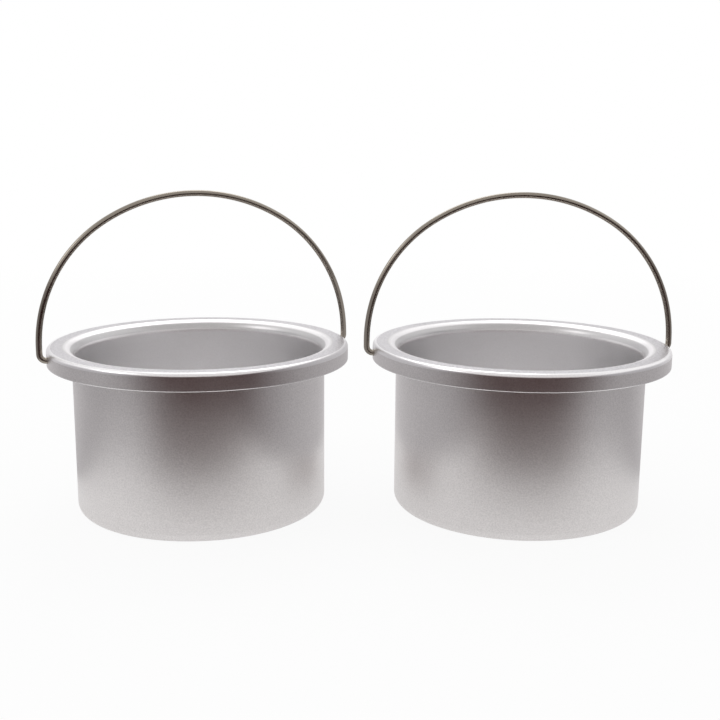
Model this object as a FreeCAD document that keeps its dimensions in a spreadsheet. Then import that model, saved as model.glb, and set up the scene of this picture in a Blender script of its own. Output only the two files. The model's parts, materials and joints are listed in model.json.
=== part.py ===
"""Pair of aluminium wax-heater pots, each with a wire carrying bail.

Each pot is one drawn sheet: a straight bowl with a rounded base corner, a flat rim and a skirt turned
down from the rim's outer edge. Its bail is one bent wire whose ends turn in through two holes in the skirt.
Millimetres and degrees, +Z up. The pots stand on Z = 0, and the origin is the middle of the pair's box.
"""
import FreeCAD
import Part
import Sketcher
import enum
import math
import os

from FreeCAD import Vector

# Driving sizes of the pot
POT_SIZES = {
    "body_diameter": 105,
    "rim_overhang": 10,
    "pot_height": 70,
    "sheet_thickness": 1.2,
    "skirt_height": 7.1,
    "rim_edge_radius": 1.7,
    "lip_radius": 5,
    "base_radius": 3.8,
    "skirt_edge_radius": 0.4,
    "pivot_depth": 3.6,
    "hole_clearance": 0.1,
    "cut_overrun": 1,
}

# Driving sizes of the bail
BAIL_SIZES = {
    "wire_diameter": 2.5,
    "bend_gap": 0.2,
    "bend_radius": 2.7,
    "leg_length": 2.2,
    "shoulder_offset": 6.8,
    "crown_drop": 11.1,
    "pin_reach": 4.5,
    "wire_end_chamfer": 0.3,
    "bail_lean": 3,
}

# How the two pots stand
PAIR_SIZES = {
    "pot_spacing": 135.5,
    "left_yaw": 21.5,
    "right_yaw": 4.5,
}

# Sizes that follow from the driving ones
DERIVED_SIZES = {
    "body_radius": "=body_diameter / 2",
    "rim_radius": "=body_radius + rim_overhang",
    "wire_radius": "=wire_diameter / 2",
    "pivot_height": "=pot_height - pivot_depth",
    "skirt_bottom": "=pot_height - skirt_height",
    "hole_radius": "=wire_radius + hole_clearance",
    "hole_start": "=rim_radius + cut_overrun",
    "hole_depth": "=sheet_thickness + 2 * cut_overrun",
    "pin_tip": "=rim_radius - sheet_thickness - pin_reach",
    "bend_start": "=rim_radius + bend_gap",
    "leg_reach": "=bend_start + bend_radius",
    "shoulder_height": "=bend_radius + leg_length",
    "left_reach": "=max(rim_radius; leg_reach * cos(left_yaw) + wire_radius)",
    "right_reach": "=max(rim_radius; leg_reach * cos(right_yaw) + wire_radius)",
    "left_place": "=(left_reach - right_reach - pot_spacing) / 2",
    "right_place": "=left_place + pot_spacing",
}

QUARTER_TURN = math.pi / 2


class Spot(enum.IntEnum):
    """Sketcher's numbers for the points of a line, an arc or a circle."""

    START = enum.auto()
    END = enum.auto()
    CENTRE = enum.auto()


# Sketcher's numbers for the two axes of a sketch, and for the point where they cross
X_AXIS = -1
Y_AXIS = X_AXIS - 1
ORIGIN_POINT = (X_AXIS, Spot.START)

doc = FreeCAD.newDocument("wax_pots")
sizes = doc.addObject("Spreadsheet::Sheet", "sizes")


def fill_sheet():
    """Put every size in the sheet, one row each, under its own alias."""
    rows = {**POT_SIZES, **BAIL_SIZES, **PAIR_SIZES, **DERIVED_SIZES}
    for row, (alias, content) in enumerate(rows.items(), start=1):
        sizes.set(f"A{row}", alias)
        sizes.set(f"B{row}", str(content))
        sizes.setAlias(f"B{row}", alias)
    doc.recompute()


def value(alias):
    """Present value of one cell, for a sketch's first guess."""
    return float(getattr(sizes, alias))


def origin_plane(body, role):
    """One of the body's own origin planes."""
    return next(plane for plane in body.Origin.OriginFeatures if plane.Role == role)


def new_sketch(body, name, role):
    """A sketch on one of the body's own origin planes."""
    sketch = body.newObject("Sketcher::SketchObject", name)
    sketch.AttachmentSupport = (origin_plane(body, role), "")
    sketch.MapMode = "FlatFace"
    return sketch


def line(sketch, start, end):
    """Draw a line and return its index with its entry and exit ends."""
    index = sketch.addGeometry(Part.LineSegment(Vector(*start), Vector(*end)), False)
    return index, Spot.START, Spot.END


def arc(sketch, centre, radius, begin, finish):
    """Draw an arc travelled from one angle to the other, in radians, and return it as line does."""
    low, high = sorted((begin, finish))
    circle = Part.Circle(Vector(*centre), Vector(0, 0, 1), radius)
    index = sketch.addGeometry(Part.ArcOfCircle(circle, low, high), False)
    return (index, Spot.START, Spot.END) if finish > begin else (index, Spot.END, Spot.START)


def tie(sketch, kind, *places):
    """Add one constraint that has no size."""
    sketch.addConstraint(Sketcher.Constraint(kind, *places))


def join(sketch, run, kind):
    """Join each element of a run to the next one, end to end."""
    for (first, _, leave), (second, enter, _) in zip(run, run[1:]):
        tie(sketch, kind, first, leave, second, enter)


def measure(sketch, formula, first_guess, kind, *places):
    """Add one size to the sketch and bind it to the sheet."""
    index = sketch.addConstraint(Sketcher.Constraint(kind, *places, first_guess))
    sketch.setExpression(f"Constraints[{index}]", formula)


def draw_section(body):
    """Half of the pot's sheet, cut through its axis: outside first, then back along the inside."""
    rim, wall, top = value("rim_radius"), value("body_radius"), value("pot_height")
    sheet, base = value("sheet_thickness"), value("base_radius")
    lip, edge, skirt = value("lip_radius"), value("rim_edge_radius"), value("skirt_bottom")
    bore = wall - sheet
    base_middle = (wall - base, base)
    lip_middle = (bore + lip, top - lip)
    edge_middle = (rim - edge, top - edge)

    sketch = new_sketch(body, "section", "XZ_Plane")
    axis = line(sketch, (0, sheet), (0, 0))
    underside = line(sketch, (0, 0), (wall - base, 0))
    base_outside = arc(sketch, base_middle, base, -QUARTER_TURN, 0)
    wall_outside = line(sketch, (wall, base), (wall, top - lip))
    lip_under = arc(sketch, lip_middle, lip - sheet, 2 * QUARTER_TURN, QUARTER_TURN)
    rim_under = line(sketch, (bore + lip, top - sheet), (rim - edge, top - sheet))
    edge_inside = arc(sketch, edge_middle, edge - sheet, QUARTER_TURN, 0)
    skirt_inside = line(sketch, (rim - sheet, top - edge), (rim - sheet, skirt))
    skirt_end = line(sketch, (rim - sheet, skirt), (rim, skirt))
    skirt_outside = line(sketch, (rim, skirt), (rim, top - edge))
    edge_outside = arc(sketch, edge_middle, edge, 0, QUARTER_TURN)
    rim_top = line(sketch, (rim - edge, top), (bore + lip, top))
    lip_top = arc(sketch, lip_middle, lip, QUARTER_TURN, 2 * QUARTER_TURN)
    wall_inside = line(sketch, (bore, top - lip), (bore, base))
    base_inside = arc(sketch, base_middle, base - sheet, 0, -QUARTER_TURN)
    floor = line(sketch, (wall - base, sheet), (0, sheet))

    join(sketch, [floor, axis, underside], "Coincident")
    join(sketch, [underside, base_outside, wall_outside, lip_under, rim_under, edge_inside, skirt_inside],
         "Tangent")
    join(sketch, [skirt_inside, skirt_end, skirt_outside], "Coincident")
    join(sketch, [skirt_outside, edge_outside, rim_top, lip_top, wall_inside, base_inside, floor], "Tangent")
    for level in (underside, rim_under, skirt_end, rim_top, floor):
        tie(sketch, "Horizontal", level[0])
    for upright in (axis, wall_outside, skirt_inside, skirt_outside, wall_inside):
        tie(sketch, "Vertical", upright[0])
    for outer, inner in ((base_outside, base_inside), (lip_top, lip_under), (edge_outside, edge_inside)):
        tie(sketch, "Coincident", outer[0], Spot.CENTRE, inner[0], Spot.CENTRE)
    tie(sketch, "Coincident", underside[0], Spot.START, *ORIGIN_POINT)

    measure(sketch, "sizes.sheet_thickness", sheet, "DistanceY", *ORIGIN_POINT, axis[0], Spot.START)
    measure(sketch, "sizes.base_radius", base, "Radius", base_outside[0])
    measure(sketch, "sizes.lip_radius", lip, "Radius", lip_top[0])
    measure(sketch, "sizes.rim_edge_radius", edge, "Radius", edge_outside[0])
    measure(sketch, "sizes.body_radius", wall, "DistanceX", *ORIGIN_POINT, wall_outside[0], Spot.START)
    measure(sketch, "sizes.rim_radius", rim, "DistanceX", *ORIGIN_POINT, skirt_outside[0], Spot.START)
    measure(sketch, "sizes.skirt_bottom", skirt, "DistanceY", *ORIGIN_POINT, skirt_outside[0], Spot.START)
    measure(sketch, "sizes.pot_height", top, "DistanceY", *ORIGIN_POINT, rim_top[0], Spot.START)
    return sketch


def circles_where(shape, test):
    """Names of the shape's round edges whose middle passes a test."""
    return [
        f"Edge{number}"
        for number, edge in enumerate(shape.Edges, start=1)
        if isinstance(edge.Curve, Part.Circle) and test(edge.Curve.Center)
    ]


def make_pot(name, place, yaw):
    """One pot, turned about its own axis so that its pivot holes lie across the yaw."""
    body = doc.addObject("PartDesign::Body", name)
    body.Label = name
    near = FreeCAD.Base.Precision.confusion()

    bowl = body.newObject("PartDesign::Revolution", "bowl")
    bowl.Profile = draw_section(body)
    bowl.ReferenceAxis = (bowl.Profile[0], ["V_Axis"])
    bowl.Angle = 360
    doc.recompute()

    skirt_bottom = value("skirt_bottom")
    skirt_edges = circles_where(bowl.Shape, lambda middle: abs(middle.z - skirt_bottom) < near)
    rounded = body.newObject("PartDesign::Fillet", "skirt_rounding")
    rounded.Base = (bowl, skirt_edges)
    rounded.setExpression("Radius", "sizes.skirt_edge_radius")
    doc.recompute()

    ring = new_sketch(body, "pivot_circle", "YZ_Plane")
    ring.setExpression("AttachmentOffset.Base.z", "sizes.hole_start")
    pivot_height = value("pivot_height")
    middle = Vector(0, pivot_height)
    circle = ring.addGeometry(Part.Circle(middle, Vector(0, 0, 1), value("hole_radius")), False)
    tie(ring, "PointOnObject", circle, Spot.CENTRE, Y_AXIS)
    measure(ring, "sizes.pivot_height", pivot_height, "DistanceY", *ORIGIN_POINT, circle, Spot.CENTRE)
    measure(ring, "sizes.hole_radius", value("hole_radius"), "Radius", circle)

    hole = body.newObject("PartDesign::Pocket", "pivot_hole")
    hole.Profile = ring
    hole.setExpression("Length", "sizes.hole_depth")
    doc.recompute()

    far_hole = body.newObject("PartDesign::Mirrored", "far_pivot_hole")
    far_hole.Originals = [hole]
    far_hole.MirrorPlane = (origin_plane(body, "YZ_Plane"), [""])
    body.Tip = far_hole
    doc.recompute()
    removed = rounded.Shape.Volume - far_hole.Shape.Volume
    if removed < value("sheet_thickness") * math.pi * value("hole_radius") ** 2:
        raise RuntimeError(f"{name}: the pivot holes are not cut")

    body.setExpression("Placement.Base.x", f"sizes.{place}")
    body.setExpression("Placement.Rotation.Angle", f"sizes.{yaw}")
    return body


def draw_wire_path(body):
    """The wire's middle line, upright: pin, bend, leg and shoulder, then the crown, and down again."""
    tip, start, bend = value("pin_tip"), value("bend_start"), value("bend_radius")
    reach, height = value("leg_reach"), value("shoulder_height")
    offset, drop = value("shoulder_offset"), value("crown_drop")
    shoulder = reach - offset
    crown = shoulder + math.hypot(offset, drop)
    crown_begin = math.atan2(drop, offset)
    crown_end = 2 * QUARTER_TURN - crown_begin

    sketch = new_sketch(body, "wire_path", "XZ_Plane")
    left_pin = line(sketch, (-tip, 0), (-start, 0))
    left_bend = arc(sketch, (-start, bend), bend, 3 * QUARTER_TURN, 2 * QUARTER_TURN)
    left_leg = line(sketch, (-reach, bend), (-reach, height))
    left_shoulder = arc(sketch, (-offset, height), shoulder, 2 * QUARTER_TURN, crown_end)
    crown_arc = arc(sketch, (0, height - drop), crown, crown_end, crown_begin)
    right_shoulder = arc(sketch, (offset, height), shoulder, crown_begin, 0)
    right_leg = line(sketch, (reach, height), (reach, bend))
    right_bend = arc(sketch, (start, bend), bend, 0, -QUARTER_TURN)
    right_pin = line(sketch, (start, 0), (tip, 0))

    join(sketch, [left_pin, left_bend, left_leg, left_shoulder, crown_arc, right_shoulder, right_leg,
                  right_bend, right_pin], "Tangent")
    for pin in (left_pin, right_pin):
        tie(sketch, "Horizontal", pin[0])
    for leg in (left_leg, right_leg):
        tie(sketch, "Vertical", leg[0])
    tie(sketch, "PointOnObject", left_pin[0], Spot.START, X_AXIS)
    tie(sketch, "PointOnObject", right_pin[0], Spot.END, X_AXIS)

    measure(sketch, "sizes.pin_tip", tip, "DistanceX", left_pin[0], Spot.START, *ORIGIN_POINT)
    measure(sketch, "sizes.pin_tip", tip, "DistanceX", *ORIGIN_POINT, right_pin[0], Spot.END)
    measure(sketch, "sizes.bend_start", start, "DistanceX", left_pin[0], Spot.END, *ORIGIN_POINT)
    measure(sketch, "sizes.bend_start", start, "DistanceX", *ORIGIN_POINT, right_pin[0], Spot.START)
    left_middle = (left_shoulder[0], Spot.CENTRE)
    right_middle = (right_shoulder[0], Spot.CENTRE)
    measure(sketch, "sizes.shoulder_offset", offset, "DistanceX", *left_middle, *ORIGIN_POINT)
    measure(sketch, "sizes.shoulder_offset", offset, "DistanceX", *ORIGIN_POINT, *right_middle)
    for bend_arc in (left_bend, right_bend):
        measure(sketch, "sizes.bend_radius", bend, "Radius", bend_arc[0])
    for middle in (left_middle, right_middle):
        measure(sketch, "sizes.shoulder_height", height, "DistanceY", *ORIGIN_POINT, *middle)
    measure(sketch, "sizes.crown_drop", drop, "DistanceY", crown_arc[0], Spot.CENTRE, *left_middle)
    return sketch


def make_bail(name, place, yaw):
    """One bail, leaning back a little on the pivot line of its pot."""
    body = doc.addObject("PartDesign::Body", name)
    body.Label = name
    near = FreeCAD.Base.Precision.confusion()

    path = draw_wire_path(body)
    ring = new_sketch(body, "wire_circle", "YZ_Plane")
    ring.setExpression("AttachmentOffset.Base.z", "-sizes.pin_tip")
    circle = ring.addGeometry(Part.Circle(Vector(), Vector(0, 0, 1), value("wire_radius")), False)
    tie(ring, "Coincident", circle, Spot.CENTRE, *ORIGIN_POINT)
    measure(ring, "sizes.wire_radius", value("wire_radius"), "Radius", circle)

    wire = body.newObject("PartDesign::AdditivePipe", "wire")
    wire.Profile = ring
    wire.Spine = path
    doc.recompute()

    pin_tip = value("pin_tip")
    end_edges = circles_where(wire.Shape, lambda middle: abs(abs(middle.x) - pin_tip) < near)
    eased = body.newObject("PartDesign::Chamfer", "wire_ends")
    eased.Base = (wire, end_edges)
    eased.setExpression("Size", "sizes.wire_end_chamfer")
    doc.recompute()

    body.setExpression(
        "Placement",
        f"placement(vector(sizes.{place}; 0; sizes.pivot_height); "
        f"rotation(vector(0; 0; 1); sizes.{yaw}) * rotation(vector(1; 0; 0); -sizes.bail_lean))",
    )
    return body


def check(pieces):
    """Stop if anything in the document failed, or a piece is not one sound solid."""
    doc.recompute()
    failed = [item.Name for item in doc.Objects if {"Invalid", "Error"} & set(item.State)]
    if failed:
        raise RuntimeError(f"not built: {failed}")
    for piece in pieces:
        if piece.Shape.isNull() or not piece.Shape.isValid() or len(piece.Shape.Solids) != 1:
            raise RuntimeError(f"{piece.Label} is not one valid solid")


def main():
    """Build both pots and both bails, and write one file for each."""
    fill_sheet()
    pieces = []
    for side in ("left", "right"):
        pieces.append(make_pot(f"{side}_pot", f"{side}_place", f"{side}_yaw"))
        pieces.append(make_bail(f"{side}_bail", f"{side}_place", f"{side}_yaw"))
    check(pieces)
    os.makedirs("parts", exist_ok=True)
    for piece in pieces:
        piece.Shape.exportStep(f"parts/{piece.Label}.step")
        print(f"{piece.Label}: {piece.Shape.Volume:.1f} mm3, box {piece.Shape.BoundBox}")


main()
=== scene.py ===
"""Dress a pair of wax-heater pots and their carrying bails, and light them for a product picture.

Each pot is satin aluminium, drawn from one sheet. Each bail is one bent steel wire that swings in two holes
of its pot's skirt. Metres, +Z up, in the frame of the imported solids. Every piece stands for one solid and
rides on that solid's body.
"""
from __future__ import annotations

import json
import logging
import math
from dataclasses import dataclass, field
from enum import Enum, IntEnum

import bmesh
import bpy
from mathutils import Matrix, Vector


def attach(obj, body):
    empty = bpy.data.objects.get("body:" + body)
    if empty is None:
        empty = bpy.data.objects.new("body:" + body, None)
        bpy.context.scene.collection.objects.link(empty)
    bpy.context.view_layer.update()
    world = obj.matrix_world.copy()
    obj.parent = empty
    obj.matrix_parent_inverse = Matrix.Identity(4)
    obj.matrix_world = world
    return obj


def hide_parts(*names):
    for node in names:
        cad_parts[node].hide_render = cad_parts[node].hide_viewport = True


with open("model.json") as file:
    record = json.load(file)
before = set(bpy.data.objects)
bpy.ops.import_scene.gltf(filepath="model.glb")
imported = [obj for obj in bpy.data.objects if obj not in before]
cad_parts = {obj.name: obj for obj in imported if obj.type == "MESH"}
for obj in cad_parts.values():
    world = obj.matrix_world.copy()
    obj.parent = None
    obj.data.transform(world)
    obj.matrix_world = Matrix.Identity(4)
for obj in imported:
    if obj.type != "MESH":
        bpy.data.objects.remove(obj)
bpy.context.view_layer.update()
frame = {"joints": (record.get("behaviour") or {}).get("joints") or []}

FULL_TURN = 2 * math.pi
HALF_TURN = math.pi
QUARTER_TURN = math.pi / 2
UP = Vector((0.0, 0.0, 1.0))
SHARP_ANGLE = math.radians(32)

Point = tuple[float, float, float]
Colour = tuple[float, float, float]
Socket = bpy.types.NodeSocket
Feed = Socket | float
WHITE = (1.0, 1.0, 1.0, 1.0)

log = logging.getLogger("wax_pots")


class Side(Enum):
    """The two pots of the pair, by where they stand."""

    LEFT = "left"
    RIGHT = "right"


class Zone(IntEnum):
    """Surfaces of a pot that are finished apart, in the order of its material slots; several also carry
    painted light or shade.
    """

    WALL = 0
    RIM = 1
    LIP = 2
    BOWL = 3
    BOWL_FLOOR = 4
    EDGE = 5
    CUT_EDGE = 6


class Lay(Enum):
    """Which way the fine lines of a metal run."""

    TURNED = "round the axis of the piece"
    DRAWN = "along the wire"


class NodeBoard:
    """One node tree, with short ways to place nodes on it and join them."""

    def __init__(self, tree: bpy.types.NodeTree) -> None:
        """Empty the node tree of a material, a world or a group, and keep it."""
        tree.nodes.clear()
        self.tree = tree

    def place(self, kind: str, **settings: object) -> bpy.types.Node:
        """Place a node and set its properties.

        Args:
            kind: Blender's name for the node.
            **settings: Properties of the node, by name.

        Returns:
            The new node.
        """
        node = self.tree.nodes.new(kind)
        for name, setting in settings.items():
            setattr(node, name, setting)
        return node

    def feed(self, socket: Socket, source: Feed | Colour | Vector) -> None:
        """Join a socket to another one, or set it to a plain value.

        Args:
            socket: The input to feed.
            source: An output socket, or the value that the input takes.
        """
        if isinstance(source, Socket):
            self.tree.links.new(source, socket)
        else:
            socket.default_value = source

    def math(self, operation: str, *terms: Feed) -> Socket:
        """Work out one sum.

        Args:
            operation: Blender's name for the sum, such as ADD.
            *terms: Its terms, as sockets or numbers.

        Returns:
            The socket that holds the result.
        """
        node = self.place("ShaderNodeMath", operation=operation)
        for socket, term in zip(node.inputs, terms):
            self.feed(socket, term)
        return node.outputs["Value"]

    def scale(self, vector: Socket | Colour, factor: Feed) -> Socket:
        """Multiply a vector or a colour by one number.

        Args:
            vector: Its socket, or the three numbers.
            factor: The number, or its socket.

        Returns:
            The socket of the scaled vector.
        """
        node = self.place("ShaderNodeVectorMath", operation="SCALE")
        self.feed(node.inputs["Vector"], vector)
        self.feed(node.inputs["Scale"], factor)
        return node.outputs["Vector"]

    def noise(self, vector: Socket, detail: float, roughness: float) -> Socket:
        """Place a noise of unit size.

        Args:
            vector: Coordinates, already divided by the size of the noise.
            detail: How many finer layers it has.
            roughness: How strong the finer layers are.

        Returns:
            The socket of its value, about 0.5 on average.
        """
        node = self.place("ShaderNodeTexNoise")
        self.feed(node.inputs["Vector"], vector)
        self.feed(node.inputs["Scale"], 1.0)
        self.feed(node.inputs["Detail"], detail)
        self.feed(node.inputs["Roughness"], roughness)
        return node.outputs["Fac"]

    def spread(self, value: Socket, low: float, high: float) -> Socket:
        """Stretch a value so that low becomes 0 and high becomes 1.

        Args:
            value: The value's socket.
            low: What becomes 0.
            high: What becomes 1.

        Returns:
            The socket of the stretched value, kept between 0 and 1.
        """
        node = self.place("ShaderNodeMapRange")
        self.feed(node.inputs["Value"], value)
        self.feed(node.inputs["From Min"], low)
        self.feed(node.inputs["From Max"], high)
        return node.outputs["Result"]


@dataclass(frozen=True)
class NoiseRecipe:
    """The noise of one effect: how many finer layers, how strong they are, and what becomes 0 and 1."""

    detail: float
    roughness: float
    low: float
    high: float


SKIN_GRAIN = NoiseRecipe(detail=1.0, roughness=0.6, low=0.28, high=0.72)
TOOL_LINES = NoiseRecipe(detail=3.0, roughness=0.65, low=0.25, high=0.75)
HANDLING_CLOUDS = NoiseRecipe(detail=2.0, roughness=0.5, low=0.3, high=0.7)


class SurfaceEffects:
    """Shader groups that the metals share, each made once.

    The grain is the speckle of a blasted and anodised skin, the lines are what a tool or a die leaves, and
    the clouds are the soft uneven patches that handling leaves.
    """

    def __init__(self) -> None:
        """Make every group."""
        self.grain = self._make("fine_grain", "Grain", SKIN_GRAIN)
        self.lines = self._make("tool_lines", "Lines", TOOL_LINES)
        self.clouds = self._make("handling_clouds", "Clouds", HANDLING_CLOUDS)

    @staticmethod
    def _make(name: str, output: str, recipe: NoiseRecipe) -> bpy.types.ShaderNodeTree:
        """Make a group with a vector and a size coming in and one value going out.

        Args:
            name: The group's name.
            output: The name of the value.
            recipe: The noise that it draws.

        Returns:
            The group.
        """
        group = bpy.data.node_groups.new(name, "ShaderNodeTree")
        group.interface.new_socket("Vector", in_out="INPUT", socket_type="NodeSocketVector")
        group.interface.new_socket("Size", in_out="INPUT", socket_type="NodeSocketFloat")
        group.interface.new_socket(output, in_out="OUTPUT", socket_type="NodeSocketFloat")
        board = NodeBoard(group)
        entry = board.place("NodeGroupInput")
        leave = board.place("NodeGroupOutput")
        density = board.math("DIVIDE", 1.0, entry.outputs["Size"])
        sized = board.scale(entry.outputs["Vector"], density)
        noise = board.noise(sized, recipe.detail, recipe.roughness)
        board.feed(leave.inputs[output], board.spread(noise, recipe.low, recipe.high))
        return group


@dataclass(frozen=True)
class Marks:
    """One shared effect on a surface: the size of its marks, and how far they move each value up and down."""

    size: float
    tint: float = 0.0
    roughness: float = 0.0
    height: float = 0.0


@dataclass(frozen=True)
class MetalFinish:
    """How one metal surface looks.

    Sizes and heights are in metres. The painted light bands give the share of the colour that shows at each
    height, as a painted highlight and a painted shade.
    """

    name: str
    colour: Colour
    roughness: float
    clouds: Marks
    lines: Marks
    grain: Marks | None = None
    lay: Lay = Lay.TURNED
    painted_light_bands: tuple[tuple[float, float], ...] = ()
    lengthwise_share: float = 0.02
    run_attribute: str = "wire_run"

    def material(self, effects: SurfaceEffects) -> bpy.types.Material:
        """Build the material.

        Args:
            effects: The shared shader groups.

        Returns:
            The finished material.
        """
        made = bpy.data.materials.new(self.name)
        made.use_nodes = True
        board = NodeBoard(made.node_tree)
        place = board.place("ShaderNodeTexCoord").outputs["Object"]
        along = self._line_place(board, place)
        layers = [
            (self.clouds, self._effect(board, effects.clouds, place, self.clouds.size)),
            (self.lines, self._effect(board, effects.lines, along, self.lines.size)),
        ]
        if self.grain:
            layers.append((self.grain, self._effect(board, effects.grain, place, self.grain.size)))

        tint = self._sum(board, 1.0, [(value, marks.tint) for marks, value in layers])
        # The lip's bands by height paint a highlight and a shade into its colour.
        if self.painted_light_bands:
            tint = board.math("MULTIPLY", tint, self._painted_light_share(board, place))
        rough = self._sum(board, self.roughness, [(value, marks.roughness) for marks, value in layers])
        height = self._sum(board, 0.0, [(value, marks.height) for marks, value in layers])

        shader = board.place("ShaderNodeBsdfPrincipled")
        board.feed(shader.inputs["Metallic"], 1.0)
        board.feed(shader.inputs["Base Color"], board.scale(self.colour, tint))
        board.feed(shader.inputs["Roughness"], rough)
        if isinstance(height, Socket):
            bump = board.place("ShaderNodeBump")
            board.feed(bump.inputs["Distance"], 1.0)
            board.feed(bump.inputs["Height"], height)
            board.feed(shader.inputs["Normal"], bump.outputs["Normal"])
        leave = board.place("ShaderNodeOutputMaterial")
        board.feed(leave.inputs["Surface"], shader.outputs["BSDF"])
        return made

    def _line_place(self, board: NodeBoard, place: Socket) -> Socket:
        """Coordinates that stay the same along a line.

        Args:
            board: The material's nodes.
            place: Coordinates on the piece.

        Returns:
            The socket of the coordinates across the lines.
        """
        if self.lay is Lay.DRAWN:
            run = board.place("ShaderNodeAttribute", attribute_name=self.run_attribute)
            across = board.place("ShaderNodeVectorMath", operation="MULTIPLY")
            board.feed(across.inputs[0], run.outputs["Vector"])
            board.feed(across.inputs[1], (1.0, 1.0, self.lengthwise_share))
            return across.outputs["Vector"]
        parts = board.place("ShaderNodeSeparateXYZ")
        board.feed(parts.inputs["Vector"], place)
        flat = board.place("ShaderNodeCombineXYZ")
        board.feed(flat.inputs["X"], parts.outputs["X"])
        board.feed(flat.inputs["Y"], parts.outputs["Y"])
        reach = board.place("ShaderNodeVectorMath", operation="LENGTH")
        board.feed(reach.inputs["Vector"], flat.outputs["Vector"])
        ring = board.place("ShaderNodeCombineXYZ")
        board.feed(ring.inputs["X"], reach.outputs["Value"])
        board.feed(ring.inputs["Z"], parts.outputs["Z"])
        return ring.outputs["Vector"]

    def _painted_light_share(self, board: NodeBoard, place: Socket) -> Socket:
        """How much of the colour shows at each height, as painted highlight and painted shade bands.

        Args:
            board: The material's nodes.
            place: Coordinates on the piece.

        Returns:
            The socket of the share of the colour that shows.
        """
        low, high = self.painted_light_bands[0][0], self.painted_light_bands[-1][0]
        parts = board.place("ShaderNodeSeparateXYZ")
        board.feed(parts.inputs["Vector"], place)
        ramp = board.place("ShaderNodeValToRGB")
        board.feed(ramp.inputs["Fac"], board.spread(parts.outputs["Z"], low, high))
        ramp.color_ramp.interpolation = "EASE"
        stops = ramp.color_ramp.elements
        for height, _ in self.painted_light_bands[1:-1]:
            stops.new((height - low) / (high - low))
        for stop, (_, share) in zip(stops, self.painted_light_bands):
            stop.color = (share, share, share, 1.0)
        return ramp.outputs["Color"]

    @staticmethod
    def _effect(board: NodeBoard, group: bpy.types.ShaderNodeTree, place: Socket, size: float) -> Socket:
        """Place a shared effect, stretched so that it lies evenly about zero.

        Args:
            board: The material's nodes.
            group: The effect.
            place: Coordinates on the piece.
            size: The size of the effect's marks.

        Returns:
            The socket of its value, from -1 to 1.
        """
        node = board.place("ShaderNodeGroup", node_tree=group)
        board.feed(node.inputs["Vector"], place)
        board.feed(node.inputs["Size"], size)
        return board.math("MULTIPLY_ADD", node.outputs[0], 2.0, -1.0)

    @staticmethod
    def _sum(board: NodeBoard, start: float, parts: list[tuple[Socket, float]]) -> Feed:
        """Add several effects, each with its own weight, and leave out those of no weight.

        Args:
            board: The material's nodes.
            start: The value with no effect at all.
            parts: Each effect's socket and its weight.

        Returns:
            The socket of the total, or the plain start where nothing has weight.
        """
        total: Feed = start
        for value, weight in parts:
            if weight:
                total = board.math("MULTIPLY_ADD", value, weight, total)
        return total


WALL_SATIN = MetalFinish(
    name="wall_satin_aluminium", colour=(0.735, 0.71, 0.705), roughness=0.38,
    clouds=Marks(0.03, tint=0.012, roughness=0.02),
    lines=Marks(0.0006, tint=0.02),
    grain=Marks(0.00055, tint=0.09, height=0.00001),
)
# The flat rim is a darker copy of the wall's aluminium: painted shade that dims what its top mirrors.
RIM_PAINTED_SHADE_SATIN = MetalFinish(
    name="rim_painted_shade_aluminium", colour=(0.645, 0.627, 0.645), roughness=0.34,
    clouds=Marks(0.02, tint=0.015, roughness=0.03),
    lines=Marks(0.0008, tint=0.01),
    grain=Marks(0.00065, tint=0.18, height=0.000018),
)
# The lip is a lighter copy of the aluminium, and its bands by height paint a highlight band and a shade band.
LIP_PAINTED_LIGHT_SATIN = MetalFinish(
    name="lip_painted_light_aluminium", colour=(0.92, 0.9, 0.907), roughness=0.36,
    clouds=Marks(0.02, tint=0.015, roughness=0.03),
    lines=Marks(0.0006, tint=0.012),
    grain=Marks(0.0005, tint=0.05, height=0.000004),
    painted_light_bands=(
        (0.065, 1.0), (0.066, 0.99), (0.0669, 0.64), (0.0685, 0.61), (0.0691, 0.98), (0.0697, 1.0),
        (0.06993, 0.86), (0.07, 0.7),
    ),
)
# The bowl's inside is a lighter copy of the aluminium: painted light that lifts the shade within the bowl.
BOWL_PAINTED_LIGHT_SATIN = MetalFinish(
    name="bowl_painted_light_aluminium", colour=(0.945, 0.935, 0.94), roughness=0.36,
    clouds=Marks(0.03, tint=0.01, roughness=0.02),
    lines=Marks(0.0009, tint=0.008),
    grain=Marks(0.0005, tint=0.03, height=0.000004),
)
# The bowl's floor is a darker copy of the bowl's aluminium: painted shade where it mirrors the overhead
# softbox.
BOWL_FLOOR_PAINTED_SHADE_SATIN = MetalFinish(
    name="bowl_floor_painted_shade_aluminium", colour=(0.82, 0.81, 0.815), roughness=0.4,
    clouds=Marks(0.02, tint=0.02, roughness=0.03),
    lines=Marks(0.0012, tint=0.02),
    grain=Marks(0.0005, tint=0.05, height=0.000005),
)
# The rim's rounded edge is burnished, and its lighter colour is also a painted highlight band.
BURNISHED_EDGE_PAINTED_HIGHLIGHT = MetalFinish(
    name="burnished_edge_painted_highlight_aluminium", colour=(0.9, 0.885, 0.89), roughness=0.3,
    clouds=Marks(0.02, tint=0.03, roughness=0.03),
    lines=Marks(0.0006, tint=0.012),
    grain=Marks(0.0005, tint=0.05, height=0.000004),
)
CUT_EDGE = MetalFinish(
    name="cut_edge_aluminium", colour=(0.86, 0.85, 0.845), roughness=0.24,
    clouds=Marks(0.012, tint=0.05, roughness=0.05),
    lines=Marks(0.0002, tint=0.05),
    grain=Marks(0.0004, tint=0.06, height=0.000008),
)
DRAWN_STEEL = MetalFinish(
    name="drawn_steel_wire", colour=(0.32, 0.287, 0.245), roughness=0.26,
    clouds=Marks(0.015, tint=0.05, roughness=0.04),
    lines=Marks(0.0005, tint=0.03, roughness=0.05),
    lay=Lay.DRAWN,
)


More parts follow.
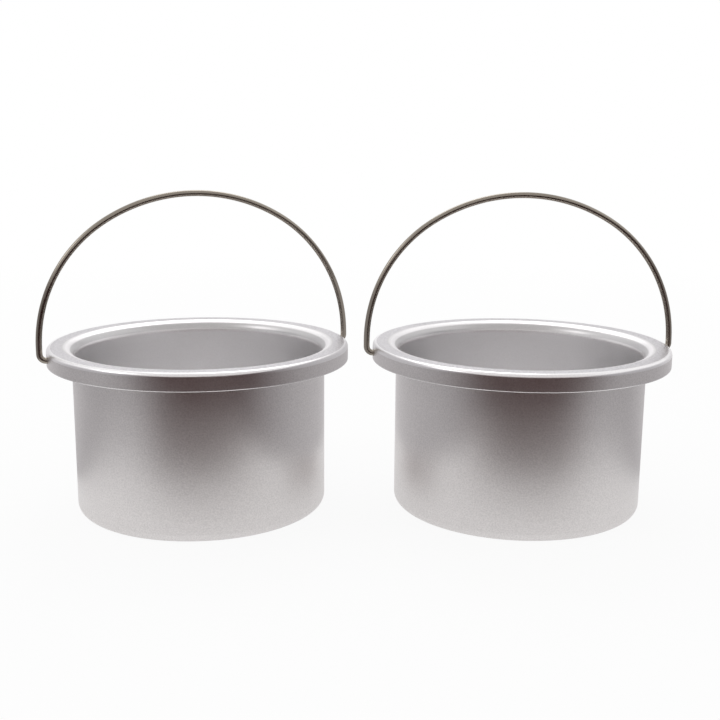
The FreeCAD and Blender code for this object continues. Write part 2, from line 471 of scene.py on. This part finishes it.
@dataclass
class Track:
    """A flat line of points, drawn by runs and arcs, with the zone of the stretch that follows each point."""

    points: list[tuple[float, float]]
    zones: list[Zone] = field(default_factory=list)

    def run(self, across: float, height: float, zone: Zone = Zone.WALL, steps: int = 1) -> None:
        """Go straight to a point.

        Args:
            across: Where it lies across.
            height: How high it lies.
            zone: The finish of the stretch.
            steps: How many pieces the stretch has.
        """
        from_across, from_height = self.points[-1]
        for step in range(1, steps + 1):
            share = step / steps
            self.points.append((
                from_across + share * (across - from_across), from_height + share * (height - from_height),
            ))
            self.zones.append(zone)

    def arc(
        self, middle: tuple[float, float], radius: float, begin: float, end: float,
        zone: Zone = Zone.WALL, steps: int = 10,
    ) -> None:
        """Follow an arc that begins at the last point.

        Args:
            middle: The middle of the arc.
            radius: Its radius.
            begin: The angle where it begins, in radians.
            end: The angle where it ends.
            zone: The finish of the stretch.
            steps: How many pieces the arc has.
        """
        for step in range(1, steps + 1):
            angle = begin + (end - begin) * step / steps
            self.points.append((middle[0] + radius * math.cos(angle), middle[1] + radius * math.sin(angle)))
            self.zones.append(zone)


def add_piece(name: str, mesh: bpy.types.Mesh, place: Vector) -> bpy.types.Object:
    """Put a mesh in the scene as an object.

    Args:
        name: The object's name.
        mesh: Its mesh.
        place: Where its origin lies.

    Returns:
        The new object.
    """
    piece = bpy.data.objects.new(name, mesh)
    piece.location = place
    bpy.context.scene.collection.objects.link(piece)
    return piece


def joint_named(name: str) -> dict:
    """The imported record's joint of that name."""
    return next(joint for joint in frame["joints"] if joint["name"] == name)


@dataclass
class Pot:
    """One drawn pot: a straight bowl, a rounded lip, a flat rim and a skirt with two pivot holes."""

    side: Side
    body_radius: float = 0.0525
    rim_radius: float = 0.0625
    height: float = 0.07
    sheet: float = 0.0012
    skirt_height: float = 0.0071
    rim_edge_radius: float = 0.0017
    lip_radius: float = 0.005
    base_radius: float = 0.0038
    skirt_edge_radius: float = 0.0004
    hole_radius: float = 0.00135
    drill_depth: float = 0.0036
    segments: int = 288
    wall_steps: int = 10
    lip_steps: int = 14
    flat_steps: int = 6
    hole_segments: int = 40

    @property
    def name(self) -> str:
        """The name of the pot's solid and of its body."""
        return f"{self.side.value}_pot"

    def build(self, materials: dict[Zone, bpy.types.Material]) -> bpy.types.Object:
        """Make the pot, dress it and put it on its body.

        Args:
            materials: The material of each zone.

        Returns:
            The pot.
        """
        joint = joint_named(f"{self.side.value}_bail_swing")
        pivot = Vector(joint["pos_m"])
        mesh = bpy.data.meshes.new(f"{self.name}_satin")
        shell = self._lathe(self._section())
        shell.to_mesh(mesh)
        shell.free()
        for zone in Zone:
            mesh.materials.append(materials[zone])
        piece = add_piece(f"{self.name}_shell", mesh, Vector((pivot.x, pivot.y, 0.0)))
        self._cut_holes(piece, Vector(joint["axis"]), pivot.z)
        piece.data.set_sharp_from_angle(angle=SHARP_ANGLE)
        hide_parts(self.name)
        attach(piece, self.name)
        return piece

    def _section(self) -> Track:
        """Half of the sheet, cut through the axis: up the outside, over the rim and down the inside.

        Returns:
            The section, as radius and height.
        """
        top, wall, rim, sheet = self.height, self.body_radius, self.rim_radius, self.sheet
        bore = wall - sheet
        skirt = top - self.skirt_height
        cut = self.skirt_edge_radius
        base_middle = (wall - self.base_radius, self.base_radius)
        lip_middle = (bore + self.lip_radius, top - self.lip_radius)
        edge_middle = (rim - self.rim_edge_radius, top - self.rim_edge_radius)
        section = Track([(0.0, 0.0)])
        section.run(base_middle[0], 0.0, Zone.WALL, self.flat_steps)
        section.arc(base_middle, self.base_radius, -QUARTER_TURN, 0.0)
        section.run(wall, lip_middle[1], Zone.WALL, self.wall_steps)
        section.arc(lip_middle, self.lip_radius - sheet, HALF_TURN, QUARTER_TURN)
        section.run(edge_middle[0], top - sheet)
        section.arc(edge_middle, self.rim_edge_radius - sheet, QUARTER_TURN, 0.0)
        section.run(rim - sheet, skirt + cut)
        inner_cut, outer_cut = (rim - sheet + cut, skirt + cut), (rim - cut, skirt + cut)
        section.arc(inner_cut, cut, HALF_TURN, HALF_TURN + QUARTER_TURN, Zone.CUT_EDGE)
        section.run(rim - cut, skirt, Zone.CUT_EDGE)
        section.arc(outer_cut, cut, -QUARTER_TURN, 0.0, Zone.CUT_EDGE)
        section.run(rim, edge_middle[1])
        section.arc(edge_middle, self.rim_edge_radius, 0.0, QUARTER_TURN, Zone.EDGE)
        section.run(lip_middle[0], top, Zone.RIM, self.flat_steps)
        section.arc(lip_middle, self.lip_radius, QUARTER_TURN, HALF_TURN, Zone.LIP, self.lip_steps)
        section.run(bore, base_middle[1], Zone.BOWL, self.wall_steps)
        section.arc(base_middle, self.base_radius - sheet, 0.0, -QUARTER_TURN, Zone.BOWL)
        section.run(0.0, sheet, Zone.BOWL_FLOOR, self.flat_steps)
        return section

    def _lathe(self, section: Track) -> bmesh.types.BMesh:
        """Turn the section about the axis.

        Args:
            section: Half of the sheet.

        Returns:
            The closed shell.
        """
        shell = bmesh.new()
        turns = [FULL_TURN * step / self.segments for step in range(self.segments)]
        rings = []
        for radius, height in section.points:
            around = turns if radius > 0.0 else turns[:1]
            corners = [(radius * math.cos(turn), radius * math.sin(turn), height) for turn in around]
            rings.append([shell.verts.new(corner) for corner in corners])
        for low, high, zone in zip(rings, rings[1:], section.zones):
            for step in range(self.segments):
                after = step + 1
                loop = (
                    low[step % len(low)], low[after % len(low)],
                    high[after % len(high)], high[step % len(high)],
                )
                # A ring on the axis is one corner, which a face takes only once.
                face = shell.faces.new(dict.fromkeys(loop))
                face.material_index = zone
                face.smooth = True
        return shell

    def _cut_holes(self, piece: bpy.types.Object, axis: Vector, height: float) -> None:
        """Drill the two pivot holes through the skirt.

        Args:
            piece: The pot, which is changed.
            axis: The way that the holes run.
            height: How high they lie.
        """
        drill = bmesh.new()
        turn = axis.to_track_quat("Z", "Y").to_matrix().to_4x4()
        for way in (-1, 1):
            middle = axis * way * (self.rim_radius - self.sheet / 2) + UP * height
            bmesh.ops.create_cone(
                drill, cap_ends=True, segments=self.hole_segments, radius1=self.hole_radius,
                radius2=self.hole_radius, depth=self.drill_depth, matrix=Matrix.Translation(middle) @ turn,
            )
        for face in drill.faces:
            face.material_index = Zone.CUT_EDGE
            face.smooth = True
        mesh = bpy.data.meshes.new("drill")
        drill.to_mesh(mesh)
        drill.free()
        cutter = add_piece("drill", mesh, piece.location)
        cut = piece.modifiers.new("pivot_holes", "BOOLEAN")
        cut.object = cutter
        cut.operation = "DIFFERENCE"
        cut.solver = "EXACT"
        graph = bpy.context.evaluated_depsgraph_get()
        drilled = bpy.data.meshes.new_from_object(piece.evaluated_get(graph))
        piece.modifiers.clear()
        piece.data = drilled
        bpy.data.objects.remove(cutter)


@dataclass
class Bail:
    """One wire bail: pins turned in through the skirt, short legs, shoulders and a flatter crown."""

    side: Side
    wire_radius: float = 0.00125
    pin_tip: float = 0.0568
    bend_start: float = 0.0627
    bend_radius: float = 0.0027
    leg_length: float = 0.0022
    shoulder_offset: float = 0.0068
    crown_drop: float = 0.0111
    end_chamfer: float = 0.0003
    lean: float = math.radians(3)
    sides: int = 64
    pin_steps: int = 3
    leg_steps: int = 2
    bend_steps: int = 12
    shoulder_steps: int = 56
    crown_steps: int = 64

    @property
    def name(self) -> str:
        """The name of the bail's solid and of its body."""
        return f"{self.side.value}_bail"

    def build(self, material: bpy.types.Material) -> bpy.types.Object:
        """Make the bail, dress it and put it on its body.

        Args:
            material: The wire's material.

        Returns:
            The bail.
        """
        joint = joint_named(f"{self.side.value}_bail_swing")
        axis = Vector(joint["axis"])
        back = UP.cross(axis)
        rise = UP * math.cos(self.lean) + back * math.sin(self.lean)
        mesh = bpy.data.meshes.new(f"{self.name}_steel")
        self._sweep(mesh, self._path(), axis, rise)
        mesh.materials.append(material)
        mesh.set_sharp_from_angle(angle=SHARP_ANGLE)
        piece = add_piece(f"{self.name}_wire", mesh, Vector(joint["pos_m"]))
        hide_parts(self.name)
        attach(piece, self.name)
        return piece

    def _path(self) -> Track:
        """The wire's middle line, from one pin over the crown to the other.

        Returns:
            The line, along the pivot axis and up from it.
        """
        reach = self.bend_start + self.bend_radius
        shoulder_height = self.bend_radius + self.leg_length
        shoulder = reach - self.shoulder_offset
        crown = shoulder + math.hypot(self.shoulder_offset, self.crown_drop)
        crown_begin = math.atan2(self.crown_drop, self.shoulder_offset)
        crown_end = HALF_TURN - crown_begin
        tip, start, bend = self.pin_tip, self.bend_start, self.bend_radius
        path = Track([(-tip, 0.0)])
        path.run(-tip - self.end_chamfer, 0.0)
        path.run(-start, 0.0, steps=self.pin_steps)
        path.arc((-start, bend), bend, HALF_TURN + QUARTER_TURN, HALF_TURN, steps=self.bend_steps)
        path.run(-reach, shoulder_height, steps=self.leg_steps)
        left_middle = (-self.shoulder_offset, shoulder_height)
        right_middle = (self.shoulder_offset, shoulder_height)
        crown_middle = (0.0, shoulder_height - self.crown_drop)
        path.arc(left_middle, shoulder, HALF_TURN, crown_end, steps=self.shoulder_steps)
        path.arc(crown_middle, crown, crown_end, crown_begin, steps=self.crown_steps)
        path.arc(right_middle, shoulder, crown_begin, 0.0, steps=self.shoulder_steps)
        path.run(reach, bend, steps=self.leg_steps)
        path.arc((start, bend), bend, 0.0, -QUARTER_TURN, steps=self.bend_steps)
        path.run(tip + self.end_chamfer, 0.0, steps=self.pin_steps)
        path.run(tip, 0.0)
        return path

    def _sweep(self, mesh: bpy.types.Mesh, path: Track, axis: Vector, rise: Vector) -> None:
        """Sweep the wire's round section along its line, with eased ends.

        Args:
            mesh: The mesh to fill.
            path: The wire's middle line.
            axis: The way that the line's first coordinate runs.
            rise: The way that its second coordinate runs.
        """
        line = [axis * along + rise * up for along, up in path.points]
        facing = rise.cross(axis)
        last = len(line) - 1
        wire = bmesh.new()
        runs = wire.verts.layers.float_vector.new(DRAWN_STEEL.run_attribute)
        rings = []
        length = 0.0
        for index, middle in enumerate(line):
            length += (middle - line[max(index - 1, 0)]).length
            ahead = (line[min(index + 1, last)] - line[max(index - 1, 0)]).normalized()
            beside = ahead.cross(facing)
            radius = self.wire_radius - (self.end_chamfer if index in (0, last) else 0.0)
            ring = []
            for step in range(self.sides):
                turn = FULL_TURN * step / self.sides
                offset = facing * math.cos(turn) + beside * math.sin(turn)
                vert = wire.verts.new(middle + offset * radius)
                vert[runs] = (radius * math.cos(turn), radius * math.sin(turn), length)
                ring.append(vert)
            rings.append(ring)
        for low, high in zip(rings, rings[1:]):
            for step in range(self.sides):
                after = (step + 1) % self.sides
                wire.faces.new((low[step], low[after], high[after], high[step])).smooth = True
        wire.faces.new(reversed(rings[0]))
        wire.faces.new(rings[-1])
        wire.to_mesh(mesh)
        wire.free()


@dataclass(frozen=True)
class SoftLight:
    """A rectangular soft light, whose radiance is how bright it looks, where 1 is white."""

    name: str
    place: Point
    aim: Point
    width: float
    depth: float
    radiance: float

    def hang(self) -> None:
        """Hang the light in the scene, facing its aim."""
        light = bpy.data.lights.new(self.name, "AREA")
        light.shape = "RECTANGLE"
        light.size = self.width
        light.size_y = self.depth
        light.energy = self.radiance * math.pi * self.width * self.depth
        lamp = bpy.data.objects.new(self.name, light)
        lamp.location = self.place
        lamp.rotation_mode = "QUATERNION"
        lamp.rotation_quaternion = (Vector(self.aim) - Vector(self.place)).to_track_quat("-Z", "Y")
        bpy.context.scene.collection.objects.link(lamp)


@dataclass
class Studio:
    """The white floor and surroundings, the soft lights, and the cards that only the metal's reflections see.

    The tent wall goes round the pots and is dark in front. The divider parts the pots, the flag hangs low
    behind them, and the canopy hangs over them and the camera.
    """

    world_fill: float = 0.9
    # The floor keeps a share of the shadow near the pots, and more of it in reflections.
    floor_half: float = 8.0
    floor_albedo: float = 0.8
    shadow_share: float = 0.09
    shadow_near: float = 0.35
    shadow_far: float = 0.9
    mirror_shadow_share: float = 0.3
    # The tent's foot and top, as half widths and half depths. Its foot draws in from the sides to the back.
    tent_inside: tuple[float, float] = (0.2, 0.13)
    tent_outside: tuple[float, float] = (0.5, 0.34)
    tent_squareness: float = 4.0
    tent_narrowing: float = 0.3
    narrow_from: float = math.radians(75)
    narrow_until: float = math.radians(105)
    tent_clear: float = 0.0005
    tent_curve: int = 2
    tent_steps: int = 96
    tent_rows: int = 8
    # Heights and shades in front, at the sides and behind, and the angles where front turns to side.
    front_height: float = 0.175
    side_height: float = 0.32
    back_height: float = 0.05
    front_shade: Colour = (0.046, 0.015, 0.015)
    side_shade: Colour = (0.45, 0.44, 0.45)
    back_shade: Colour = (1.0, 0.99, 1.0)
    front_until: float = math.radians(38)
    side_from: float = math.radians(66)
    left_advance: float = math.radians(6)
    # Each face of the divider: the pot that it faces, its place across, and where front turns to side.
    divider_faces: tuple[tuple[Side, float, tuple[float, float]], ...] = (
        (Side.LEFT, -0.005, (-0.108, -0.022)),
        (Side.RIGHT, -0.003, (-0.122, -0.036)),
    )
    divider_low: float = 0.021
    divider_high: float = 0.095
    divider_ends: tuple[float, float] = (-0.3, 0.2)
    divider_lift: tuple[float, float] = (-0.06, 0.12)
    divider_steps: int = 64
    flag_place: float = 0.2
    flag_half: float = 0.3
    flag_low: float = 0.108
    flag_high: float = 0.135
    flag_shade: Colour = (0.45, 0.44, 0.46)
    canopy_half: float = 0.45
    canopy_line: tuple[tuple[float, float], ...] = ((-0.36, 0.2), (-0.15, 0.74), (0.23, 0.74))
    canopy_shade: Colour = (0.77, 0.755, 0.75)
    lights: tuple[SoftLight, ...] = (
        SoftLight(
            "back_softbox", place=(-0.03, 0.42, 0.68), aim=(-0.03, 0.05, 0.07),
            width=0.44, depth=0.38, radiance=2.0,
        ),
        SoftLight(
            "left_softbox", place=(-0.75, -0.25, 0.75), aim=(0.0, 0.0, 0.08),
            width=0.3, depth=0.3, radiance=2.8,
        ),
    )

    def build(self) -> None:
        """Set up everything around the object."""
        self._surroundings()
        self._floor()
        self._tent()
        self._divider()
        self._flag()
        self._canopy()
        for light in self.lights:
            light.hang()

    @staticmethod
    def _seen_plainly(board: NodeBoard) -> Socket:
        """Mask the rays that show the surroundings: from the camera, in a mirror or through glass.

        Args:
            board: The nodes to place the mask on.

        Returns:
            The socket of the mask.
        """
        path = board.place("ShaderNodeLightPath")
        seen = board.math("MAXIMUM", path.outputs["Is Camera Ray"], path.outputs["Is Glossy Ray"])
        return board.math("MAXIMUM", seen, path.outputs["Is Transmission Ray"])

    def _surroundings(self) -> None:
        """Make the world white to look at, and a little dimmer as a light."""
        world = bpy.data.worlds.new("white_surroundings")
        world.use_nodes = True
        bpy.context.scene.world = world
        board = NodeBoard(world.node_tree)
        seen = board.place("ShaderNodeBackground")
        board.feed(seen.inputs["Color"], WHITE)
        fill = board.place("ShaderNodeBackground")
        board.feed(fill.inputs["Color"], WHITE)
        board.feed(fill.inputs["Strength"], self.world_fill)
        mix = board.place("ShaderNodeMixShader")
        board.feed(mix.inputs["Fac"], self._seen_plainly(board))
        board.feed(mix.inputs[1], fill.outputs["Background"])
        board.feed(mix.inputs[2], seen.outputs["Background"])
        leave = board.place("ShaderNodeOutputWorld")
        board.feed(leave.inputs["Surface"], mix.outputs["Shader"])

    @staticmethod
    def _paint(name: str) -> tuple[bpy.types.Material, NodeBoard]:
        """Start a material of the stage, which rays find by themselves and nothing aims at as a lamp.

        Args:
            name: The material's name.

        Returns:
            The material and its empty nodes.
        """
        paint = bpy.data.materials.new(name)
        paint.use_nodes = True
        paint.cycles.emission_sampling = "NONE"
        return paint, NodeBoard(paint.node_tree)

    def _floor(self) -> None:
        """Lay a white floor that keeps a faint shadow of the object."""
        far = self.floor_half
        corners = [(-far, -far, 0.0), (far, -far, 0.0), (far, far, 0.0), (-far, far, 0.0)]
        mesh = bpy.data.meshes.new("floor")
        mesh.from_pydata(corners, [], [range(len(corners))])
        sheet = add_piece("floor", mesh, Vector())
        paint, board = self._paint("white_floor")
        mesh.materials.append(paint)
        matt = board.place("ShaderNodeBsdfDiffuse")
        board.feed(matt.inputs["Color"], (self.floor_albedo, self.floor_albedo, self.floor_albedo, 1.0))
        white = board.place("ShaderNodeEmission")
        board.feed(white.inputs["Color"], WHITE)
        place = board.place("ShaderNodeTexCoord").outputs["Object"]
        away = board.place("ShaderNodeVectorMath", operation="LENGTH")
        board.feed(away.inputs["Vector"], place)
        far_off = board.spread(away.outputs["Value"], self.shadow_near, self.shadow_far)
        plain = board.math("MULTIPLY_ADD", far_off, self.shadow_share, 1.0 - self.shadow_share)
        path = board.place("ShaderNodeLightPath")
        seen = board.math("MAXIMUM", path.outputs["Is Camera Ray"], path.outputs["Is Transmission Ray"])
        mirrored = board.math("MULTIPLY", path.outputs["Is Glossy Ray"], 1.0 - self.mirror_shadow_share)
        mix = board.place("ShaderNodeMixShader")
        board.feed(mix.inputs["Fac"], board.math("MULTIPLY_ADD", seen, plain, mirrored))
        board.feed(mix.inputs[1], matt.outputs["BSDF"])
        board.feed(mix.inputs[2], white.outputs["Emission"])
        leave = board.place("ShaderNodeOutputMaterial")
        board.feed(leave.inputs["Surface"], mix.outputs["Shader"])

    def _tent(self) -> None:
        """Stand a tent wall round the pots, dark in front, which only the metal's reflections see."""
        columns = []
        for step in range(self.tent_steps):
            turn = FULL_TURN * step / self.tent_steps
            away = self._from_front(turn)
            advance = self.left_advance if turn > HALF_TURN else 0.0
            front_side = self._ease(away + advance, self.front_until, self.side_from)
            side_back = max(0.0, -math.cos(turn))
            heights = (self.front_height, self.side_height, self.back_height)
            height = self._between(*heights, front_side, side_back)
            narrowing = self.tent_narrowing * self._ease(away, self.narrow_from, self.narrow_until)
            inside = self._reach(self.tent_inside, turn) * (1.0 - narrowing)
            outside = self._reach(self.tent_outside, turn)
            column = []
            for row in range(self.tent_rows + 1):
                share = row / self.tent_rows
                reach = inside + share * (outside - inside)
                rise = self.tent_clear + height * share ** self.tent_curve
                column.append((reach * math.sin(turn), -reach * math.cos(turn), rise))
            columns.append((column, self._shade(front_side, side_back)))
        self._card("tent_wall", columns + columns[:1])

    def _divider(self) -> None:
        """Stand two cards between the pots, so that each pot mirrors the tent and not the other pot."""
        first, last = self.divider_ends
        for side, place, blend in self.divider_faces:
            columns = []
            for step in range(self.divider_steps + 1):
                along = first + (last - first) * step / self.divider_steps
                front_side = self._ease(along, *blend)
                side_back = self._ease(along, *self.divider_lift)
                column = [(place, along, height) for height in (self.divider_low, self.divider_high)]
                columns.append((column, self._shade(front_side, side_back)))
            self._card(f"{side.value}_divider", columns)

    def _flag(self) -> None:
        """Hang a grey card low behind the pots, which tones the far side of the flat rims down."""
        columns = []
        for across in (-self.flag_half, self.flag_half):
            column = [(across, self.flag_place, height) for height in (self.flag_low, self.flag_high)]
            columns.append((column, self.flag_shade))
        self._card("back_flag", columns)

    def _canopy(self) -> None:
        """Hang a grey card over the camera and the pots, which tones down what mirrors the sky."""
        columns = []
        for across in (-self.canopy_half, self.canopy_half):
            column = [(across, along, height) for along, height in self.canopy_line]
            columns.append((column, self.canopy_shade))
        self._card("front_canopy", columns)

    def _shade(self, front_side: float, side_back: float) -> Colour:
        """Blend the tent's shades of front, side and back by how far along each step is."""
        parts = zip(self.front_shade, self.side_shade, self.back_shade)
        return tuple(self._between(*part, front_side, side_back) for part in parts)

    @staticmethod
    def _card(name: str, columns: list[tuple[list[Point], Colour]]) -> None:
        """Stand a shaded card that only the metal's reflections see.

        Args:
            name: The card's name.
            columns: Its upright rows of points, each with the shade of that row.
        """
        corners = [corner for column, _ in columns for corner in column]
        shades = [part for column, shade in columns for _ in column for part in (*shade, 1.0)]
        pitch = len(columns[0][0])
        faces = []
        for start in range(0, len(corners) - pitch, pitch):
            for low in range(start, start + pitch - 1):
                faces.append((low, low + pitch, low + pitch + 1, low + 1))
        mesh = bpy.data.meshes.new(name)
        mesh.from_pydata(corners, [], faces)
        mesh.color_attributes.new("shade", "FLOAT_COLOR", "POINT").data.foreach_set("color", shades)
        mesh.shade_smooth()
        paint, board = Studio._paint(name)
        mesh.materials.append(paint)
        glow = board.place("ShaderNodeEmission")
        shade = board.place("ShaderNodeAttribute", attribute_name="shade")
        board.feed(glow.inputs["Color"], shade.outputs["Color"])
        leave = board.place("ShaderNodeOutputMaterial")
        board.feed(leave.inputs["Surface"], glow.outputs["Emission"])
        card = add_piece(name, mesh, Vector())
        card.visible_camera = False
        card.visible_diffuse = False
        card.visible_transmission = False
        card.visible_volume_scatter = False
        card.visible_shadow = False

    @staticmethod
    def _from_front(turn: float) -> float:
        """The angle between a direction and the front, from 0 to a half turn."""
        return HALF_TURN - abs(turn - HALF_TURN)

    def _reach(self, halves: tuple[float, float], turn: float) -> float:
        """How far the tent's line lies from the middle in one direction.

        Args:
            halves: Half of the line's width and of its depth.
            turn: The direction, in radians from the front.

        Returns:
            The distance along that direction to a rounded oblong.
        """
        power = self.tent_squareness
        across, along = abs(math.sin(turn)) / halves[0], abs(math.cos(turn)) / halves[1]
        return (across ** power + along ** power) ** (-1.0 / power)

    @staticmethod
    def _ease(value: float, low: float, high: float) -> float:
        """How far a value lies from low to high, from 0 to 1 and eased at both ends."""
        share = min(max((value - low) / (high - low), 0.0), 1.0)
        return share * share * (3.0 - 2.0 * share)

    @staticmethod
    def _between(front: float, side: float, back: float, front_side: float, side_back: float) -> float:
        """Blend a value of the tent's front, side and back by how far along each step is."""
        return front + front_side * (side - front) + side_back * (back - side)


@dataclass
class PictureCamera:
    """The camera of the picture: a little above the pots and almost square to the pair."""

    eye: Vector = field(default_factory=lambda: Vector((-0.0131, -0.45, 0.15685)))
    yaw: float = math.radians(1.405)
    pitch: float = math.radians(-11.878)
    roll: float = math.radians(0.437)
    lens: float = 54.16
    sensor: float = 36.0

    def build(self) -> None:
        """Make the camera and give it to the scene."""
        data = bpy.data.cameras.new("picture_camera")
        data.lens = self.lens
        data.sensor_width = self.sensor
        camera = bpy.data.objects.new("picture_camera", data)
        level_share = math.cos(self.pitch)
        ahead = Vector((
            math.sin(self.yaw) * level_share, math.cos(self.yaw) * level_share, math.sin(self.pitch),
        ))
        level = ahead.cross(UP).normalized()
        upright = level.cross(ahead)
        right = level * math.cos(self.roll) + upright * math.sin(self.roll)
        top = upright * math.cos(self.roll) - level * math.sin(self.roll)
        turn = Matrix((right, top, -ahead)).transposed().to_4x4()
        camera.matrix_world = Matrix.Translation(self.eye) @ turn
        bpy.context.scene.collection.objects.link(camera)
        bpy.context.scene.camera = camera


def main() -> None:
    """Build the finishes, both pots with their bails, the studio and the camera."""
    logging.basicConfig(level=logging.INFO, format="%(name)s: %(message)s")
    effects = SurfaceEffects()
    satins = {
        Zone.WALL: WALL_SATIN.material(effects),
        Zone.RIM: RIM_PAINTED_SHADE_SATIN.material(effects),
        Zone.LIP: LIP_PAINTED_LIGHT_SATIN.material(effects),
        Zone.BOWL: BOWL_PAINTED_LIGHT_SATIN.material(effects),
        Zone.BOWL_FLOOR: BOWL_FLOOR_PAINTED_SHADE_SATIN.material(effects),
        Zone.EDGE: BURNISHED_EDGE_PAINTED_HIGHLIGHT.material(effects),
        Zone.CUT_EDGE: CUT_EDGE.material(effects),
    }
    steel = DRAWN_STEEL.material(effects)
    for side in Side:
        for piece in (Pot(side).build(satins), Bail(side).build(steel)):
            log.info("%s: %d faces", piece.name, len(piece.data.polygons))
    Studio().build()
    PictureCamera().build()
    bpy.context.scene.view_settings.view_transform = "Standard"


if __name__ == "__main__":
    main()
